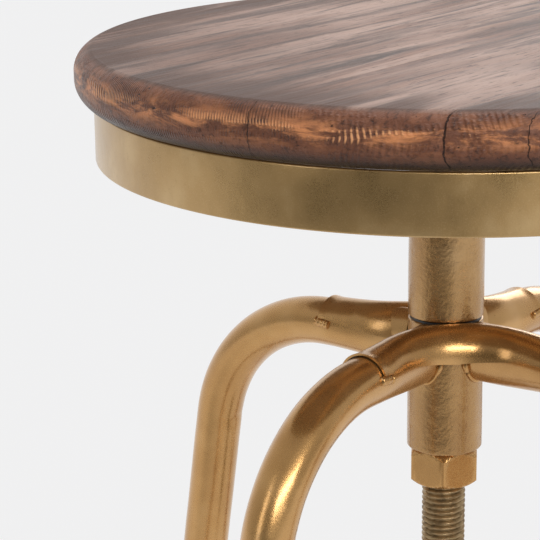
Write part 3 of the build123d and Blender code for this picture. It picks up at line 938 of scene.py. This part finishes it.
def bead(spots, radius, seed, closed=False):
    """A weld bead: a lumpy tube along a run of points, tapered at its ends unless it is closed."""
    spots = [Vector(spot) for spot in spots]
    total = len(spots)
    sides = 14
    points = []
    for i, spot in enumerate(spots):
        ahead = spots[(i + 1) % total] if closed or i + 1 < total else spot
        behind = spots[i - 1] if closed or i > 0 else spot
        tangent = (ahead - behind).normalized()
        upright = abs(tangent.z) > 0.9
        side = tangent.orthogonal() if upright else tangent.cross(Vector((0, 0, 1))).normalized()
        normal = side.cross(tangent)
        taper = 1.0 if closed else min(1.0, 0.25 + 3.2 * math.sin(math.pi * i / (total - 1)))
        swell = 1 + 0.06 * math.sin(i * 0.9 + seed) + 0.30 * noise.noise(Vector((i * 0.23, seed, 0)))
        points += [spot + side * u + normal * v for u, v in circle(radius * taper * swell, sides)]
    faces = grid_faces(total, sides, wrap_rows=closed)
    return points, faces if closed else faces + end_faces(total, sides)


def joined_pieces(parts):
    """Several closed meshes as one list of points and faces."""
    points, faces = [], []
    for part_points, part_faces in parts:
        base = len(points)
        points += [tuple(point) for point in part_points]
        faces += [tuple(base + k for k in face) for face in part_faces]
    return points, faces


def ring_spots(radius, height, count):
    """Evenly spaced points round the stool's axis at one height."""
    return [(x, y, height) for x, y in circle(radius, count)]


def all_round(make):
    """The pieces that make(seed) gives, at each of the four legs."""
    parts = []
    for seed, degrees in enumerate(LEG_ANGLES.values()):
        parts += [(turned(points, degrees), faces) for points, faces in make(seed)]
    return joined_pieces(parts)


def arm_weld(seed):
    """The bead under an arm where it meets the hub."""
    half_width, half_height = arm_oval(COLUMN_R)
    spots = []
    for angle in np.radians(np.linspace(190, 350, 26)):
        y = (half_width + 0.6 * MM) * math.cos(angle)
        z = ARM_HEIGHT + (half_height + 0.6 * MM) * math.sin(angle)
        spots.append((math.sqrt(COLUMN_R ** 2 - y ** 2) + 0.5 * MM, y, z))
    return [bead(spots, 1.2 * MM, seed)]


def saddle_corner_welds(seed):
    """Beads under the corners of a saddle's end, one each side of the arm."""
    parts = []
    for side in (-1, 1):
        spots = []
        for step in np.linspace(-3.0 * MM, 6.5 * MM, 30):
            x = SADDLE_REACH - 4 * MM + step
            z = ARM_HEIGHT - SADDLE_EDGE_DROP + x * math.tan(SADDLE_EDGE_RISE) - 2.6 * MM
            spots.append((x, side * (LEG_R - 1.1 * MM), z))
        parts.append(bead(spots, 2.6 * MM, seed * 2 + side))
    return parts


def footrest_welds(seed):
    """Beads above and below the footrest ring where it touches the inside of a leg."""
    parts = []
    for above in (-1, 1):
        height = RING_HEIGHT + above * 4.2 * MM
        contact = KNEE_REACH + (KNEE_HEIGHT - height) * math.tan(LEG_SPLAY) - LEG_R / math.cos(LEG_SPLAY)
        spots = [(contact + 0.2 * MM - 14 * y * y, y, height) for y in np.linspace(-5.5 * MM, 5.5 * MM, 16)]
        parts.append(bead(spots, 1.9 * MM, seed + above))
    return parts


def welds():
    """All the weld beads, each with its node in the CAD."""
    add_weld("leg_welds", all_round(arm_weld), "frame")
    add_weld("saddle_welds", all_round(saddle_corner_welds), "frame")
    add_weld("footrest_welds", all_round(footrest_welds), "frame")
    nut = bead(ring_spots(COLUMN_R - 2.1 * MM, HUB_BOTTOM - 0.1 * MM, 150), 0.6 * MM, 5, closed=True)
    add_weld("nut_weld", nut, "frame")
    sleeve = bead(ring_spots(COLUMN_R + 0.7 * MM, SLEEVE_TOP - 0.9 * MM, 120), 1.8 * MM, 7, closed=True)
    add_weld("sleeve_weld", sleeve, "seat")


def add_weld(node, shape, body):
    """A lumpy bead in the place of the CAD's plain one."""
    add_piece(f"lumpy_{node}", *shape, BRASS, body, "brass_paint", [node], 70)


def build_legs():
    """The four legs, the two saddles over their arms, and the welds."""
    for seed, (place, degrees) in enumerate(LEG_ANGLES.items()):
        leg(f"leg_{place}", degrees, seed)
    for seed, (name, degrees) in enumerate(SADDLE_ANGLES.items()):
        saddle(name, degrees, seed)
    welds()


# ---------------------------------------------------------------- camera, light and floor

def camera():
    """The camera: to the left of the stool's front, above the seat, looking down on it."""
    distance, height = 1.008, BAND_BOTTOM + 219.75 * MM
    pan, tilt, roll = -0.0877, 0.2725, -0.0109
    ahead = Vector((math.sin(pan) * math.cos(tilt), math.cos(pan) * math.cos(tilt), -math.sin(tilt)))
    right = Vector((math.cos(pan), -math.sin(pan), 0))
    up = right.cross(ahead)
    across = right * math.cos(roll) + up * math.sin(roll)
    upward = up * math.cos(roll) - right * math.sin(roll)
    turn = Matrix.Rotation(-CAMERA_SIDE, 4, "Z")
    axes = Matrix((across, upward, -ahead)).transposed().to_4x4()
    data = bpy.data.cameras.new("camera")
    data.sensor_width = 36
    data.lens = 138.9
    data.clip_start = 0.05
    item = bpy.data.objects.new("camera", data)
    item.matrix_world = turn @ Matrix.Translation((0, -distance, height)) @ axes
    bpy.context.scene.collection.objects.link(item)
    bpy.context.scene.camera = item


def softbox(name, place, target, width, depth, power):
    """A rectangular lamp turned to its target."""
    data = bpy.data.lights.new(name, "AREA")
    data.shape = "RECTANGLE"
    data.size, data.size_y = width, depth
    data.energy = power
    item = bpy.data.objects.new(name, data)
    item.location = place
    item.rotation_euler = (Vector(target) - Vector(place)).to_track_quat("-Z", "Y").to_euler()
    bpy.context.scene.collection.objects.link(item)
    return item


def grey(level):
    """A grey, from black at 0 to white at 1."""
    return (level, level, level)


def towards_front(degrees):
    """The level direction to the front, turned to the left by an angle."""
    angle = math.radians(degrees)
    return -math.sin(angle), -math.cos(angle)


def studio_light():
    """A pale studio: darker in front of the stool than at its sides and back, soft overhead."""
    world = bpy.data.worlds.new("studio")
    world.use_nodes = True
    tree = world.node_tree
    back = tree.nodes["Background"]
    g = Graph(world)
    x, y, z = g.split(g.place)
    share = g.math("MULTIPLY_ADD", g.toward(x, y, towards_front(24)), -0.5, 0.5)
    level = g.ramp(share, [
        (0.0, grey(0.06)), (0.08, grey(0.11)), (0.28, grey(0.42)), (0.5, grey(0.60)), (0.80, grey(1.0)),
    ])
    right = g.toward(x, y, (math.cos(CAMERA_SIDE), -math.sin(CAMERA_SIDE)))
    level = g.mix(g.ranged(right, 0.30, 0.90, 0.0, 0.40), level, grey(0.32))
    level = g.mix(g.ranged(z, 0.10, 0.60, 0.0, 0.45), level, grey(0.80))
    seen = tree.nodes.new("ShaderNodeLightPath").outputs["Is Camera Ray"]
    color = g.mix(seen, level, (0.845, 0.845, 0.852))
    tree.links.new(color, back.inputs[0])
    back.inputs[1].default_value = 1.0
    bpy.context.scene.world = world
    bpy.context.scene.view_settings.view_transform = "Standard"


def floor():
    """A pale floor that glows a little, as one lit from all round does."""
    data = bpy.data.meshes.new("floor")
    half_side = 9
    corners = [(x * half_side, y * half_side, 0) for x, y in ((-1, -1), (1, -1), (1, 1), (-1, 1))]
    data.from_pydata(corners, [], [(0, 1, 2, 3)])
    material, shader = new_material("floor")
    shader.inputs["Base Color"].default_value = (0.34, 0.34, 0.342, 1)
    shader.inputs["Roughness"].default_value = 0.9
    shader.inputs["Specular IOR Level"].default_value = 0.0
    shader.inputs["Emission Color"].default_value = (1, 1, 1.005, 1)
    g = Graph(material)
    x, y, _ = g.split(g.place)
    forward = g.toward(x, y, towards_front(35))
    distance = g.reach(x, y)
    in_front = g.ranged(g.math("DIVIDE", forward, distance), 0.60, 0.97)
    bounced = g.math("MULTIPLY", in_front, g.ranged(distance, 0.35, 1.5))
    bounced = g.math("MULTIPLY_ADD", bounced, -0.74, 0.74)
    seen = g.nodes.new("ShaderNodeLightPath").outputs["Is Camera Ray"]
    even = g.math("MULTIPLY", seen, 0.645)
    other = g.math("MULTIPLY", g.math("SUBTRACT", 1.0, seen), bounced)
    g.links.new(g.math("ADD", even, other), shader.inputs["Emission Strength"])
    data.materials.append(material)
    ground = bpy.data.objects.new("floor", data)
    bpy.context.scene.collection.objects.link(ground)
    return ground


def lamps(ground):
    """Softboxes that light the stool alone, so that the floor stays even."""
    lit = bpy.data.collections.new("lit")
    for item in bpy.context.scene.objects:
        if item.type == "MESH" and item != ground:
            lit.objects.link(item)
    seat = (0, 0, 0.58)
    boxes = [
        softbox("overhead", (0.5, 0.2, 2.2), seat, 1.5, 1.5, 18),
        softbox("behind", (1.3, 2.2, 1.5), seat, 1.2, 0.8, 11),
        softbox("left", (-1.9, -1.3, 1.3), seat, 0.5, 1.3, 5),
        softbox("front", (0.30, -1.9, 1.32), (0, 0, 0.46), 1.5, 0.35, 18),
    ]
    for box in boxes:
        box.light_linking.receiver_collection = lit


camera()
studio_light()
dress_nodes()
seat_boards()
seat_band()
column_tube("blistered_sleeve", "screw_sleeve", SLEEVE_BOTTOM, SLEEVE_TOP, 0.7 * MM, "seat")
column_tube("blistered_hub", "hub_tube", HUB_BOTTOM, HUB_TOP, 0.9 * MM, "frame")
thread()
hexagon_nut()
build_legs()
lamps(floor())
